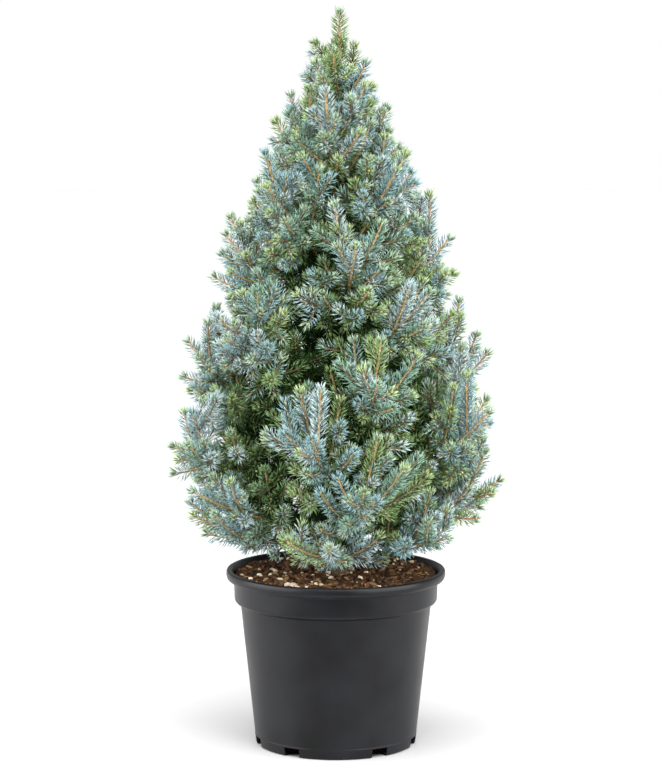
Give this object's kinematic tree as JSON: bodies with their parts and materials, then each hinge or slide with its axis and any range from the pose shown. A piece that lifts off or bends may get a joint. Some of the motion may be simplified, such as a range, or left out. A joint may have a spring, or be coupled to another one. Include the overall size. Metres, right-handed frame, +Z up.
{
  "type": "potted conifer",
  "caption": "Young dwarf spruce with a dense cone of upswept blue-green needle shoots, planted in a round black nursery pot with a rolled lip.",
  "frame": {"origin": "middle of the pot's flat underside", "axes": "+Z up along the stem, -Y towards the front that the picture shows, +X to the viewer's right"},
  "size_m": [0.2876, 0.2827, 0.636],
  "materials": {
    "pot": "satin black moulded plastic",
    "medium": "loose dark bark and peat",
    "bark": "thin rough bark",
    "needles": "waxy blue-green needles"
  },
  "bodies": {
    "root": {"pot": "pot", "growing_medium": "medium", "trunk": "bark", "bough_01": "bark", "foliage_01": "needles", "bough_02": "bark", "foliage_02": "needles", "bough_03": "bark", "foliage_03": "needles", "bough_04": "bark", "foliage_04": "needles", "bough_05": "bark", "foliage_05": "needles", "bough_06": "bark", "foliage_06": "needles", "bough_07": "bark", "foliage_07": "needles", "bough_08": "bark", "foliage_08": "needles", "bough_09": "bark", "foliage_09": "needles", "bough_10": "bark", "foliage_10": "needles", "bough_11": "bark", "foliage_11": "needles", "bough_12": "bark", "foliage_12": "needles", "bough_13": "bark", "foliage_13": "needles", "bough_14": "bark", "foliage_14": "needles", "bough_15": "bark", "foliage_15": "needles", "bough_16": "bark", "foliage_16": "needles", "bough_17": "bark", "foliage_17": "needles", "bough_18": "bark", "foliage_18": "needles", "bough_19": "bark", "foliage_19": "needles", "bough_20": "bark", "foliage_20": "needles", "foliage_21": "needles", "foliage_22": "needles", "foliage_23": "needles", "foliage_24": "needles", "foliage_25": "needles", "foliage_26": "needles", "foliage_27": "needles", "foliage_28": "needles", "foliage_29": "needles", "foliage_30": "needles", "foliage_31": "needles", "foliage_32": "needles", "foliage_33": "needles", "foliage_34": "needles", "foliage_35": "needles", "foliage_top": "needles"}
  },
  "joints": []
}
